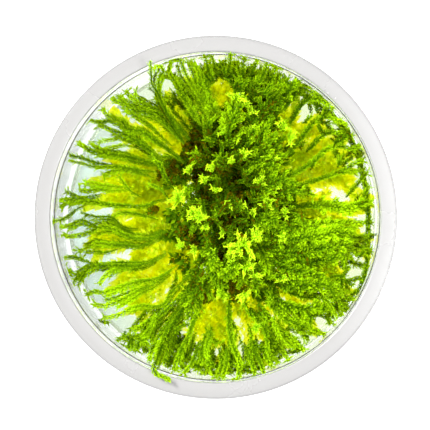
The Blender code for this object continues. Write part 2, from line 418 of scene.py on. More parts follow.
# clear places between the shoots, as seen from above in the plane of the rim:
# centre, half length, half width and the turn of the length in degrees
clearings = (
    (-18.8, 34.4, 3.0, 2.4, 40), (-12.6, 36.2, 2.2, 1.6, -60), (-29.0, 24.0, 3.2, 1.1, -20),
    (-28.4, 19.9, 4.0, 0.9, 5), (-34.5, 11.4, 4.6, 3.4, 20), (-29.5, 1.1, 6.0, 1.1, -3),
    (-24.0, -0.3, 2.4, 1.3, -20), (-17.6, -1.4, 1.8, 1.0, -20), (-36.4, -7.3, 3.0, 2.0, -50),
    (-28.0, -10.7, 6.0, 1.3, 8), (-31.7, -17.5, 4.6, 1.6, 10), (-31.5, -23.0, 2.0, 1.0, 10),
    (-28.0, -25.8, 3.6, 0.9, 12), (-25.6, -29.6, 4.0, 1.9, 25), (-15.0, -22.2, 3.8, 1.6, 38),
    (1.0, -36.5, 1.5, 1.9, 0), (6.4, -36.0, 1.0, 2.2, 10), (28.8, -28.6, 2.4, 1.5, 40),
    (22.1, -32.6, 2.2, 0.9, -30), (38.1, -15.1, 1.9, 1.2, 50), (31.9, -22.4, 0.8, 1.2, 0),
    (40.0, 0.6, 1.9, 1.2, 0), (39.5, -4.0, 1.2, 0.6, -20), (40.0, -6.8, 0.9, 0.8, 0),
    (20.7, 30.0, 0.7, 2.8, 0), (23.0, 28.0, 0.8, 2.4, -15), (35.0, 19.0, 1.8, 1.0, 35),
    (37.6, 14.0, 1.8, 0.9, 25), (31.0, 7.2, 2.8, 1.6, -25), (37.0, 5.4, 1.8, 1.4, 30),
    (41.4, 8.5, 0.8, 1.9, -20), (-8.3, 39.8, 3.0, 1.0, 10), (1.8, 34.4, 2.8, 3.4, 0),
)


# places where the low growth shows through: centre, half length and half width in the picture in
# pixels and the turn in degrees
glowSpots = (
    (222, 92, 16, 12, 90), (142, 121, 16, 6, -20), (166, 140, 20, 7, -40), (150, 172, 14, 12, 0),
    (160, 202, 16, 9, 0), (143, 225, 14, 7, 0), (142, 252, 24, 6, 0), (150, 275, 14, 5, 10),
    (320, 116, 28, 11, -36), (332, 146, 32, 17, -31), (338, 182, 26, 24, 0), (332, 214, 28, 13, 0),
    (342, 272, 24, 7, 5), (308, 300, 16, 5, 0), (205, 318, 24, 6, 70), (223, 324, 26, 6, 88),
    (242, 324, 24, 6, 100), (190, 330, 16, 6, 55), (257, 332, 14, 5, 118), (175, 300, 12, 6, 30),
    (296, 163, 6, 16, 0), (302, 273, 14, 3, -18), (303, 296, 12, 4, -25), (292, 304, 10, 3, -30),
    (305, 313, 8, 4, -20), (283, 321, 8, 5, -40),
)

# dark hollows between the shoots of the middle, given in the same way
hollowSpots = (
    (212, 149, 6, 8, 0), (204, 181, 5, 5, 0), (228, 182, 6, 6, 0), (240, 194, 5, 5, 0),
    (216, 197, 12, 5, 0), (226, 218, 8, 6, 0), (187, 161, 4, 3, 0), (198, 138, 4, 4, 0),
    (192, 237, 11, 5, 0), (219, 258, 6, 6, 0), (258, 262, 6, 10, 0), (234, 282, 10, 5, 0),
)


def inRimPlane(spots):
    return tuple(((x - rimMiddle[0]) * pixelSize, (rimMiddle[1] - y) * pixelSize, long * pixelSize,
                  wide * pixelSize, turned) for x, y, long, wide, turned in spots)


lowGlow = clearings + inRimPlane(glowSpots)
glowing = lowGlow + inRimPlane(hollowSpots)


def crossing(route, margin, places=clearings):
    seen = rimView(route)
    worst = 0.0
    for across, up, long, wide, turned in places:
        away = seen - np.array((across, up))
        c, s = heading(math.radians(turned))
        along = (away[:, 0] * c + away[:, 1] * s) / (long + margin)
        aside = (away[:, 1] * c - away[:, 0] * s) / (wide + margin)
        inside = 1.0 - np.sqrt(along ** 2 + aside ** 2)
        worst = max(worst, float(np.clip(inside, 0, 1).sum()))
    return worst


def newTuft():
    return {"from": [], "to": [], "side": [], "size": [], "youth": [], "stems": []}


# how full a shoot is along its way, when it is slim at its foot
def fullness(share, slim):
    return np.interp(share, (0.0, 0.6), (slim, 1.0))


# the places, directions, sizes and youth of the leaves along a shoot
def growShoot(tuft, route, size, youth, density=1.0, spread=50.0, stem=0.17, ageing=1.6, slim=1.0):
    reach = lengthAlong(route)
    length = reach[-1]
    if length < 0.4:
        return
    count = max(4, int(length * leaf["perMm"] * density))
    at = (np.arange(count) + random.uniform(0.2, 0.8)) / count * length
    spot = pick(at, reach, route)
    ahead = unit(pick(at, reach, unit(np.gradient(route, axis=0))))
    across = np.cross(ahead, upward)
    weak = np.linalg.norm(across, axis=1) < 0.15
    across[weak] = np.cross(ahead[weak], np.array((0.3, 1.0, 0.0)))
    across = unit(across)
    above = np.cross(across, ahead)
    around = np.arange(count) * leaf["turn"] + random.uniform(0, math.tau)
    outwards = unit(np.cos(around)[:, None] * across + (np.sin(around) * leaf["flat"])[:, None] * above)
    share = at / length
    opening = np.radians(spread * (1.0 - 0.55 * share ** 6) + random.normal(0, leaf["wobble"], count))
    leaning = unit(ahead * np.cos(opening)[:, None] + outwards * np.sin(opening)[:, None])
    # the leaves at the sides lie nearly flat
    lower = np.where(np.sin(around) < 0, -1.0, 1.0)[:, None]
    sideways = unit(np.cross(ahead, outwards) * 0.4 + np.cross(leaning, above) * lower * 0.8
                    + random.normal(0, 0.15, (count, 3)))
    # small at the foot and at the tip
    (footLength, footSize), (tipLength, tipSize) = leaf["atFoot"], leaf["atTip"]
    grow = (np.clip(share * length / footLength, footSize, 1.0)
            * np.clip((1.02 - share) * length / tipLength, tipSize, 1.0))
    sizes = leaf["scale"] * size * grow * random.uniform(*leaf["sizes"], count) * fullness(share, slim)
    first, last = youth
    ages = first + (last - first) * share ** ageing + random.normal(0, leaf["uneven"], count)
    tuft["from"].append(spot + outwards * stem * 0.6)
    tuft["to"].append(leaning)
    tuft["side"].append(sideways)
    tuft["size"].append(sizes)
    tuft["youth"].append(np.clip(ages, 0.0, 1.0))
    tuft["stems"].append((route, stem, first, slim))


# a shoot with twigs to both sides
def growFrond(tuft, route, size, youth, pinnae, density=1.0, ageing=1.6, stem=0.17, slim=1.0):
    growShoot(tuft, route, size * pinnae.get("own", 1.0), youth, density, stem=stem, ageing=ageing,
              slim=slim)
    reach = lengthAlong(route)
    length = reach[-1]
    ahead = unit(np.gradient(route, axis=0))
    at = length * pinnae["start"]
    side = 1.0
    while at < length - 0.6:
        share = at / length
        spot = pick(at, reach, route)
        forward = unit(pick(at, reach, ahead))
        across = unit(np.cross(forward, upward))
        lift = upward * random.normal(0.05, 0.3)
        angle = math.radians(pinnae["angle"] + random.normal(0, 7))
        out = unit(forward * math.cos(angle) + across * side * math.sin(angle) + lift)
        full = min(1.0, (1.03 - share) * length / (pinnae["length"] * 1.6))
        full *= fullness(share, slim)
        reachOut = pinnae["length"] * full * random.uniform(0.6, 1.15)
        if reachOut > 0.5:
            bend = unit(out * 0.75 + forward * 0.5 + lift * 0.4)
            end = spot + (out * 0.55 + bend * 0.5) * reachOut
            twig = curveThrough(spot, spot + out * reachOut * 0.35, spot + out * reachOut * 0.7, end, 6)
            if crossing(twig, 0.3) < 0.4:
                young = youth[0] + (youth[1] - youth[0]) * share ** min(1.0, ageing)
                growShoot(tuft, twig, size * pinnae.get("twig", 0.82), (young, min(1.0, young + 0.14)),
                          density, stem=stem * 0.35)
        at += pinnae["gap"] * random.uniform(0.7, 1.3)
        side = -side


# the tip of a shoot parts into fingers
def forkTip(tuft, route, size, youth, fingers, length, fan=34.0):
    end = route[-1]
    forward = unit(route[-1] - route[-3])
    across = unit(np.cross(forward, upward))
    for finger in range(fingers):
        turn = math.radians((finger - (fingers - 1) / 2) * fan + random.normal(0, 8))
        lift = upward * random.normal(0.1, 0.25)
        out = unit(forward * math.cos(turn) + across * math.sin(turn) + lift)
        start = end - forward * random.uniform(0.1, 0.8)
        reachOut = length * random.uniform(0.6, 1.1)
        finish = start + out * reachOut
        twig = curveThrough(start, start + out * reachOut * 0.4, start + out * reachOut * 0.8, finish, 5)
        growShoot(tuft, twig, size * 0.6, youth, 1.7, 34.0, 0.1)


# a short shoot with a forked tip, whose youth is given from a middle shade
def growSprig(tuft, route, sprig, shade):
    foot, tip = sprig["leaves"]
    growShoot(tuft, route, sprig["size"], (shade + foot, shade + tip), sprig["density"], sprig["spread"])
    foot, tip = sprig["tips"]
    forkTip(tuft, route, 0.9, (shade + foot, shade + tip), random.integers(*sprig["fingers"]),
            sprig["fingerLength"], sprig["fan"])


crown = {
    "centre": np.array((1.5, 8.0)),
    "length": 9.0,
    "width": 4.5,
    "turn": math.radians(110.0),
    "reach": (13.0, 8.0),   # what grows within this oval is part of the crown
}


def crownEdge(bearing, share):
    turned = math.radians(bearing) - crown["turn"]
    along = math.cos(turned) * crown["length"] * share
    aside = math.sin(turned) * crown["width"] * share
    c, s = heading(crown["turn"])
    return crown["centre"] + np.array((along * c - aside * s, along * s + aside * c))


def bearingOf(spot):
    away = np.asarray(spot)[:2] - crown["centre"]
    return math.degrees(math.atan2(away[1], away[0]))


# a route from the crown to a tip that rises steeply and then runs out
def radialRoute(tip, rootHeight, arch, swing, begin=0.0, spacing=1.2):
    tip = np.asarray(tip, float)
    root = crownEdge(bearingOf(tip) + random.normal(0, 9), random.uniform(0.35, 1.0))
    root = root + (tip[:2] - root) * begin
    start = np.append(root, rootHeight)
    run = tip - start
    length = np.linalg.norm(run)
    aside = unit(np.array((-run[1], run[0], 0.0)))
    top = max(rootHeight, tip[2]) + arch
    pull = start + run * 0.33 + aside * swing * length
    pull[2] = rootHeight + (top - rootHeight) * 0.8
    late = start + run * 0.72 + aside * swing * length * 0.7
    late[2] = top
    route = curveThrough(start, pull, late, tip, max(6, int(length / spacing)))
    return wander(route, min(2.2, length * 0.08))


# tries a few routes and keeps the one that covers least of the given places
def clearRoute(tip, rootHeight, arch, swing, margin, begin, places, tries=7):
    best, least = None, 1e9
    for attempt in range(tries):
        route = radialRoute(tip, rootHeight + random.normal(0, 1.0), arch + random.normal(0, 0.8),
                            swing + random.normal(0, 0.05 + 0.03 * attempt), begin)
        cross = crossing(route, margin, places)
        if cross < least:
            best, least = route, cross
        if cross == 0.0:
            break
    return best, least


def wallRadius(height):
    return np.interp(height, cup["heights"], cup["radii"])


def keepInCup(spots):
    radius = np.hypot(spots[:, 0], spots[:, 1])
    widest = np.where(spots[:, 2] > room["overRim"], room["flange"],
                      wallRadius(spots[:, 2]) - room["wallGap"])
    squeeze = np.minimum(1.0, widest / np.maximum(radius, 1e-6))
    spots[:, 0] *= squeeze
    spots[:, 1] *= squeeze
    spots[:, 2] = np.clip(spots[:, 2], room["lowest"], room["highest"])
    return spots


# painted shade and painted light: where the green shoots are darker or lighter than elsewhere: place in
# the picture, width and amount
shadeAndLightSpots = (
    (262, 112, 32, -0.06), (284, 148, 26, -0.03), (215, 240, 26, -0.035), (238, 206, 18, -0.09),
    (212, 172, 12, -0.06), (310, 255, 18, -0.045), (225, 122, 8, 0.06),
    (215, 112, 22, 0.06), (205, 88, 22, 0.04), (312, 215, 24, 0.03), (118, 315, 34, 0.035),
    (150, 285, 20, 0.02), (215, 350, 30, 0.035), (282, 284, 22, -0.025),
)


# darkens or lightens the green leaves near those places, as painted shade and painted light
def paintedShadeAndLight(spots, youth):
    seen = rimView(spots)
    added = np.zeros(len(spots))
    for across, down, wide, amount in shadeAndLightSpots:
        middle = ((across - rimMiddle[0]) * pixelSize, (rimMiddle[1] - down) * pixelSize)
        away = np.linalg.norm(seen - middle, axis=1) / (wide * pixelSize)
        added += amount * np.exp(-away ** 2)
    green = (youth > 0.22) & (youth < 0.66)
    return np.where(green, np.maximum(youth + added, 0.24), youth)


def stemTubes(stems, offset):
    spots, faces, ages = [], [], []
    sides = 3
    for route, stem, young, slim in stems:
        count = len(route)
        ahead = unit(np.gradient(route, axis=0))
        across = unit(np.cross(ahead, np.array((0.05, 0.02, 1.0))))
        above = np.cross(across, ahead)
        thick = stem * np.interp(np.linspace(0.0, 1.0, count), (0.0, 0.6, 1.0), (slim, 1.0, 0.45))[:, None]
        ring = [route + (across * math.cos(turn) + above * math.sin(turn)) * thick
                for turn in np.arange(sides) * math.tau / sides]
        spots.append(np.stack(ring, axis=1).reshape(-1, 3))
        here = offset + np.arange(count - 1)[:, None] * sides
        for k in range(sides):
            a, b = here + k, here + (k + 1) % sides
            faces.append(np.concatenate((a, b, b + sides), axis=1))
            faces.append(np.concatenate((a, b + sides, a + sides), axis=1))
        # the stems get the same painted shade and light
        ages.append(np.repeat(paintedShadeAndLight(route, np.full(count, max(0.0, young * 0.95))), sides))
        offset += count * sides
    return spots, faces, ages


# joins the leaves and the stems of a tuft to one mesh
def buildTuft(name, tuft, node):
    start, along, side, size, youth = (
        np.concatenate(tuft[part]) for part in ("from", "to", "side", "size", "youth"))
    # painted shade and light in patches
    youth = paintedShadeAndLight(start, youth)
    face = np.cross(side, along)
    size = size[:, None, None]
    spots = (start[:, None, :]
             + side[:, None, :] * size * bladePlaces[None, :, :1]
             + along[:, None, :] * size * bladePlaces[None, :, 1:2]
             + face[:, None, :] * size * bladePlaces[None, :, 2:])
    spots = spots.reshape(-1, 3)
    corners = len(bladePlaces)
    faces = (np.arange(len(start))[:, None, None] * corners + bladeFaces[None]).reshape(-1, 3)
    ages = (youth[:, None] + bladeAges).ravel()
    stemSpots, stemFaces, stemAges = stemTubes(tuft["stems"], len(spots))
    spots = keepInCup(np.concatenate([spots] + stemSpots)) * mm
    faces = np.concatenate([faces] + stemFaces)
    ages = np.concatenate([ages] + stemAges)
    mesh = bpy.data.meshes.new(name)
    mesh.vertices.add(len(spots))
    mesh.vertices.foreach_set("co", spots.ravel())
    mesh.loops.add(faces.size)
    mesh.loops.foreach_set("vertex_index", faces.ravel().astype(np.int32))
    mesh.polygons.add(len(faces))
    mesh.polygons.foreach_set("loop_start", np.arange(len(faces), dtype=np.int32) * 3)
    mesh.update(calc_edges=True)
    mesh.attributes.new("youth", "FLOAT", "POINT").data.foreach_set("value", ages.astype(np.float32))
    mesh.materials.append(leafMaterial)
    piece = bpy.data.objects.new(name, mesh)
    bpy.context.collection.objects.link(piece)
    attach(piece, "root")
    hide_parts(node)
    print(name, len(faces))
    return len(faces)


# each plume fills the cup up to a bearing from the crown, clockwise from the first one
firstBearing = 102.0
plumes = (
    (77.5, ("haze", "mat", "mat", "rim")),
    (49.5, ("haze", "haze", "mat", "mat", "rim")),
    (12.5, ("haze", "haze", "shortMat")),
    (349.0, ("haze", "haze", "shortMat")),
    (331.0, ("haze", "mat", "mat")),
    (310.0, ("haze", "mat", "shortMat", "rim")),
    (287.0, ("haze", "mat", "shortMat", "rim")),
    (271.0, ("haze", "haze", "shortMat", "rim", "rim", "rim")),
    (256.5, ("haze", "haze", "shortMat", "rim", "rim", "rim")),
    (243.3, ("haze", "mat", "rim", "rim")),
    (231.0, ("shortHaze", "haze", "thinMat", "strands", "rim")),
    (215.6, ("shortHaze", "shortHaze", "strands")),
    (203.3, ("shortHaze", "shortHaze", "shortHaze")),
    (189.0, ("shortHaze", "shortHaze", "shortHaze")),
    (174.0, ("shortHaze", "shortHaze", "shortHaze")),
    (156.5, ("shortHaze", "shortHaze", "shortHaze")),
    (126.0, ("shortHaze", "haze", "strands")),
    (102.0, ("shortHaze", "mat", "strands")),
)

styles = {
    "broad": {"start": 0.2, "gap": 2.6, "angle": 42.0, "length": 3.4},
    "feather": {"start": 0.3, "gap": 1.3, "angle": 52.0, "length": 3.4},
    "rope": {"start": 0.12, "gap": 0.85, "angle": 46.0, "length": 1.7, "twig": 0.55, "own": 0.72},
    "antler": {"start": 0.3, "gap": 0.7, "angle": 50.0, "length": 1.3, "twig": 0.7},
}

# the shoots that stand out, tip first, at their places in the picture in pixels; "high" gives the
# heights in millimetres of the tip and the root, or of every place; "beside" is how many lie along
shoots = (
    # over the top left of the rim
    {"at": ((150, 60.5), (150.5, 72), (151.5, 84), (157, 92), (161, 101), (170, 119), (184, 142)),
     "high": (47.3, 46.8, 44, 41, 38, 35, 31), "size": 0.6, "youth": 0.32, "forks": 0},
    {"at": ((154, 68), (157, 66), (161, 66), (163, 71), (158, 79), (159, 91), (161, 102), (172, 124)),
     "high": (44, 44.4, 44, 43, 41, 39, 37, 32), "size": 0.8, "youth": 0.38},
    {"at": ((170, 61), (175, 60), (180, 60), (183, 68), (186, 75), (193, 87), (202, 101), (212, 125)),
     "high": (42, 42.5, 42.5, 41, 40, 37, 34, 31), "size": 0.85, "youth": 0.36},
    {"at": ((171, 62), (169, 70), (172, 77), (177, 85), (181, 94), (189, 107), (200, 125)),
     "high": (40, 32), "size": 0.95, "youth": 0.36, "beside": 1},
    {"at": ((163, 77), (159, 88), (160, 100), (168, 115), (180, 135)), "high": (36, 31), "beside": 1},
    {"at": ((188, 62), (192, 72), (195, 81), (199, 94), (204, 115)), "high": (39, 31), "size": 0.85},
    {"at": ((194, 63), (198, 72), (201, 84), (205, 98), (209, 118)), "high": (38, 32)},
    {"at": ((204.5, 55.5), (207, 64), (209, 74), (211, 82)), "high": (41, 27), "size": 0.85},
    {"at": ((211.5, 56.5), (214, 63), (215, 71), (216, 79)), "high": (40, 27), "size": 0.85},
    # along the top of the wall
    {"at": ((230.5, 53.5), (230, 62), (229, 72), (229, 80)), "high": (44, 28), "size": 0.9},
    {"at": ((221, 63), (222, 70), (222, 78)), "high": (37, 28), "style": "feather", "beside": 1},
    {"at": ((244.5, 57.5), (243, 65), (243, 73), (243, 80)), "high": (41, 32), "beside": 1},
    {"at": ((236, 62), (236, 70), (236, 78)), "high": (37, 28), "style": "feather", "beside": 1},
    {"at": ((257, 60.5), (254, 68), (251, 77)), "high": (40, 33), "beside": 1},
    {"at": ((267.5, 64), (264, 73), (260, 83)), "high": (39, 33), "beside": 1},
    {"at": ((276.5, 67), (272, 76), (267, 87)), "high": (38, 32), "beside": 2},
    {"at": ((297, 80.5), (289, 90), (281, 102)), "high": (36, 31), "beside": 1, "style": "feather"},
    {"at": ((288, 78), (281, 90), (275, 100)), "high": (35, 31), "beside": 1},
    # the dark edge along the right of the wall, and the shoots that hold it
    {"at": ((322, 97), (312, 92), (303, 88), (296, 92), (284, 110)), "high": (33, 30), "beside": 1},
    {"at": ((333, 109), (323, 101), (312, 99), (302, 104), (290, 124)), "high": (33, 29), "beside": 1},
    {"at": ((346.5, 124.5), (337, 120), (326, 117), (314, 122), (300, 140), (284, 158)),
     "high": (34, 29), "beside": 1},
    {"at": ((352, 137), (343, 136), (333, 132), (322, 136), (306, 152)), "high": (33, 28)},
    {"at": ((359.5, 146), (350, 149), (340, 146), (326, 150), (304, 168), (280, 180)),
     "high": (34, 28), "beside": 1},
    {"at": ((363, 160), (353, 164), (343, 171), (332, 175), (316, 180), (296, 186)), "high": (31, 27)},
    {"at": ((367, 172), (360, 181), (352, 190), (346, 197)), "high": (30, 26), "size": 0.85},
    {"at": ((369, 186), (364, 196), (360, 206), (352, 213)), "high": (30, 25), "size": 0.85},
    {"at": ((371, 203), (360, 207), (347, 208), (332, 206), (316, 205), (296, 207)), "high": (29, 26),
     "style": "feather", "beside": 1},
    {"at": ((371, 222), (360, 223), (348, 222), (334, 222), (312, 222), (290, 222)), "high": (28, 26),
     "beside": 1},
    {"at": ((372, 251), (365, 250), (358, 246), (344, 244), (326, 244)), "high": (29, 25), "beside": 1},
    {"at": ((368, 236), (360, 237), (350, 237), (338, 234)), "high": (29, 25)},
    {"at": ((363, 281.5), (358, 278), (350, 281), (336, 280), (320, 278)), "high": (29, 25)},
    {"at": ((367, 266), (361, 265), (352, 262), (340, 262)), "high": (28, 25)},
    # strands that lie along the wall on the right
    {"at": ((284, 82), (300, 91), (318, 105), (334, 117), (347, 131), (356, 148)), "high": (31, 28),
     "youth": 0.29},
    {"at": ((330, 115), (345, 131), (355, 149), (362, 170), (366, 195)), "high": (29, 27),
     "youth": 0.29},
    {"at": ((361, 165), (366, 190), (368, 215), (368, 240), (366, 262)), "high": (29, 26),
     "youth": 0.29},
    {"at": ((368, 236), (367, 262), (362, 284), (355, 302), (347, 313)), "high": (29, 26),
     "youth": 0.32},
    # the broad mats of the right
    {"at": ((353, 231), (338, 232), (320, 235), (302, 238), (282, 240), (264, 236)), "high": (33, 31),
     "style": "feather", "beside": 3, "youth": 0.32},
    {"at": ((352, 243), (336, 246), (318, 249), (300, 252), (280, 252), (262, 246)), "high": (33, 31),
     "style": "feather", "beside": 3, "youth": 0.31},
    {"at": ((351, 257), (334, 258), (316, 261), (298, 262), (278, 260)), "high": (32, 30),
     "style": "feather", "beside": 3, "youth": 0.31},
    {"at": ((322, 275), (308, 273), (294, 270), (280, 266), (264, 258)), "high": (32, 30),
     "style": "feather", "beside": 2, "youth": 0.31},
    {"at": ((336, 284), (320, 285), (304, 286), (288, 283), (270, 272)), "high": (33, 30),
     "style": "feather", "beside": 2, "youth": 0.31},
    {"at": ((354, 299.5), (344, 298), (334, 297), (320, 297), (300, 296), (276, 284)), "high": (30, 28),
     "beside": 1},
    {"at": ((346.5, 310), (334, 307), (318, 307), (300, 308), (282, 303), (262, 288)), "high": (32, 29),
     "style": "feather", "beside": 2, "youth": 0.33},
    {"at": ((332, 323), (324, 316), (310, 314), (292, 314)), "high": (30, 27), "size": 0.85},
    {"at": ((324.5, 334), (314, 330), (302, 326), (286, 318), (266, 300)), "high": (32, 29),
     "beside": 2},
    {"at": ((304, 350.5), (296, 344), (286, 336), (274, 324), (258, 304)), "high": (33, 30),
     "beside": 2},
    {"at": ((289, 361), (283, 352), (275, 342), (264, 328), (250, 308)), "high": (34, 30), "beside": 2},
    {"at": ((271.5, 366), (266, 356), (260, 344)), "high": (36, 32),
     "beside": 1},
    # along the bottom of the wall
    {"at": ((264, 374.5), (262, 366), (257, 356), (252, 346)), "high": (39, 33), "size": 0.9},
    {"at": ((255, 375), (253, 366), (248, 354), (245, 346)), "high": (39, 33), "size": 0.9},
    {"at": ((237.5, 381), (239, 373), (240, 364), (236, 352), (231, 338), (229, 318), (230, 300)),
     "high": (42, 30), "size": 1.1, "youth": 0.34},
    {"at": ((223, 378.5), (225, 370), (227, 360), (226, 348)), "high": (40, 34), "size": 0.9},
    {"at": ((216, 377.5), (220, 371), (222, 362), (219, 348)), "high": (40, 33), "beside": 1},
    {"at": ((207, 371), (210, 362), (213, 350)), "high": (35, 31), "beside": 1},
    {"at": ((198, 371), (200, 362), (203, 350), (205, 340)), "high": (36, 31), "beside": 1},
    {"at": ((183.5, 373.5), (190, 366), (195, 357), (199, 342)), "high": (39, 32),
     "size": 0.9},
    {"at": ((174, 370), (176, 362), (181, 353), (187, 340), (195, 318), (203, 296)), "high": (39, 29),
     "beside": 1},
    # the shoot that curls over the rim
    {"at": ((169.5, 380.5), (164, 377), (157, 375), (153.5, 370), (155, 364), (158, 357), (162, 345),
            (172, 326), (188, 302)),
     "high": (46.7, 46.8, 46.8, 46.4, 45.5, 43, 38, 33, 29), "size": 1.0, "youth": 0.29, "forks": 0},
    {"at": ((149, 359.5), (151, 352), (156, 342), (166, 326), (180, 306)), "high": (36, 29), "beside": 1},
    {"at": ((134.5, 350.5), (139, 345), (147, 336), (158, 322), (172, 304)), "high": (33, 28)},
    {"at": ((126, 348), (132, 342), (141, 334)), "high": (32, 29), "size": 0.85},
    {"at": ((115, 344), (119, 339), (127, 337), (138, 336), (150, 330), (164, 314)), "high": (32, 28),
     "size": 0.9},
    {"at": ((134, 331), (141, 326), (151, 320), (163, 313), (176, 300), (190, 284)), "high": (31, 28),
     "beside": 3, "youth": 0.33},
    # the left
    {"at": ((103.5, 318.5), (111, 317), (121, 314), (132, 308), (143, 306), (155, 307), (164, 304),
            (170, 294), (178, 286), (190, 274)), "high": (30, 28), "size": 0.9},
    {"at": ((148, 311), (153, 313), (160, 308)), "high": (27, 26), "size": 0.75},
    {"at": ((94, 304.5), (105, 306), (116, 302), (127, 297), (138, 291), (151, 286), (170, 274)),
     "high": (30, 28), "size": 1.0, "youth": 0.36, "beside": 1},
    {"at": ((87, 295), (94, 291.5), (103, 293), (112, 290), (127, 285), (140, 281), (158, 278),
            (176, 266)), "high": (30, 28), "size": 1.0, "beside": 1},
    {"at": ((62.5, 267.5), (69, 272), (76, 276), (84, 272), (92, 267), (106, 266), (124, 266),
            (146, 264), (166, 254)), "high": (31, 28), "size": 1.05, "youth": 0.34, "beside": 1},
    {"at": ((71, 287), (74, 281), (80, 276), (88, 270)), "high": (31, 30), "size": 0.8},
    {"at": ((78, 286.5), (80, 281), (84, 275), (90, 269)), "high": (31, 30), "size": 0.8},
    {"at": ((66, 276), (72, 276)), "high": (31, 30.5), "size": 0.75},
    {"at": ((99, 284), (103, 278), (110, 272), (124, 268), (142, 266)), "high": (30, 28), "beside": 1,
     "youth": 0.42},
    {"at": ((62, 258.5), (73, 257.5), (81, 259.5), (91, 264), (104, 265)), "high": (31, 29),
     "size": 0.85},
    {"at": ((78.5, 251), (86, 248.5), (96, 243.5), (109, 244.5), (124, 245), (140, 246), (160, 240)),
     "high": (29, 28), "size": 0.95, "beside": 1},
    {"at": ((86, 252), (96, 252), (106, 253), (118, 249)), "high": (28, 28), "size": 0.9},
    {"at": ((64, 234.5), (68, 236.5), (81, 235), (90, 232), (101, 227), (112, 229), (122, 234),
            (135, 238), (152, 238), (168, 230)), "high": (29, 28), "size": 0.95, "beside": 1},
    {"at": ((60.5, 227), (71, 225.5), (81, 220.5), (90, 224), (100, 228)), "high": (31, 29),
     "size": 0.95, "beside": 1},
    {"at": ((52.5, 221.3), (60, 220), (68, 216), (77, 209), (90, 203)), "high": (42, 40, 37, 33, 30),
     "size": 0.8},
    {"at": ((85, 216), (89, 215), (96, 217), (111, 217.5), (119, 224), (126, 228), (138, 229)),
     "high": (30, 28), "size": 0.65, "youth": 0.3},
    {"at": ((84, 213.5), (89, 215)), "high": (30, 30), "size": 0.6},
    {"at": ((112, 217.5), (119, 213.5), (130, 213), (144, 216), (158, 220)), "high": (29, 28),
     "size": 0.8},
    {"at": ((60.5, 206.5), (68, 203), (78, 202), (92, 202), (107, 204.5), (126, 206), (145, 206),
            (158, 201), (172, 199)), "high": (31, 29), "size": 1.1, "youth": 0.33, "beside": 1},
    {"at": ((59, 200.5), (67, 200), (76, 199), (88, 197), (101, 194)), "high": (32, 30), "beside": 1},
    {"at": ((65.5, 192), (71, 194), (78, 197), (90, 199)), "high": (31, 30), "size": 0.85},
    {"at": ((79, 189.5), (87, 191), (96, 190), (108, 189)), "high": (28, 27), "size": 0.95,
     "youth": 0.44},
    {"at": ((85, 183.5), (93, 183), (101, 185.5), (116, 187), (134, 188)), "high": (27, 26),
     "size": 1.0, "youth": 0.46, "beside": 1},
    {"at": ((119, 176.5), (124, 184), (130, 191), (140, 197)), "high": (31, 30), "size": 0.65},
    {"at": ((148.5, 184), (157, 187), (165, 194.5), (172, 203)), "high": (32, 31), "size": 0.65},
    {"at": ((103, 175), (110, 172), (120, 170), (136, 172), (154, 178)), "high": (29, 28), "beside": 1},
    {"at": ((96, 167.5), (106, 167), (120, 167), (138, 170), (156, 172)), "high": (30, 28),
     "beside": 1},
    {"at": ((67, 153.5), (72, 156), (81, 157.5), (91, 161.5), (101, 164), (118, 166), (138, 168)),
     "high": (36, 34, 32, 31, 30, 29, 29), "size": 0.8, "youth": 0.32},
    {"at": ((78.5, 143), (87, 148.5), (96, 152.5), (109, 154), (124, 156), (140, 160), (158, 166)),
     "high": (36, 28), "size": 1.15, "youth": 0.32, "beside": 1},
    {"at": ((98, 142), (109, 139.7), (119, 139), (130, 143)), "high": (27, 27), "size": 0.75,
     "youth": 0.46},
    {"at": ((99, 150), (111, 147.5), (124, 145), (136, 148)), "high": (26, 26), "size": 1.0,
     "youth": 0.5},
    {"at": ((99, 124.5), (106, 128), (119, 133), (130, 137), (141, 145), (150, 151), (158, 159),
            (168, 168)), "high": (31, 30), "size": 1.1, "youth": 0.32, "beside": 1},
    {"at": ((88.5, 119.5), (97.5, 122), (109, 121), (119, 126), (130, 132)), "high": (35, 30),
     "size": 0.85, "youth": 0.33},
    {"at": ((102.5, 109), (106, 114), (113, 119), (122, 122), (127, 129), (141, 131), (151, 138),
            (160, 144), (172, 153), (184, 163)), "high": (34, 30), "size": 0.95, "youth": 0.33,
     "beside": 1},
    {"at": ((110, 96), (115, 101), (122, 103), (130, 109), (145, 112), (158, 118), (170, 129),
            (184, 144)), "high": (34, 30), "size": 1.0, "beside": 1},
    {"at": ((119, 95), (121, 100), (126, 104), (136, 110), (148, 116)), "high": (34, 31), "size": 0.9},
    {"at": ((126, 91.5), (131, 97), (140, 103), (152, 108), (163, 112), (176, 124), (190, 140)),
     "high": (33, 30), "beside": 1},
    {"at": ((134.5, 93), (138, 98), (146, 104), (158, 110)), "high": (33, 31), "size": 0.9},
    {"at": ((152, 159), (160, 165), (164, 175), (169, 183), (176, 192)), "high": (33, 31),
     "size": 0.9, "youth": 0.3},
    {"at": ((126, 110), (138, 118), (150, 126), (160, 136), (172, 146)), "high": (31, 30), "beside": 1},
)


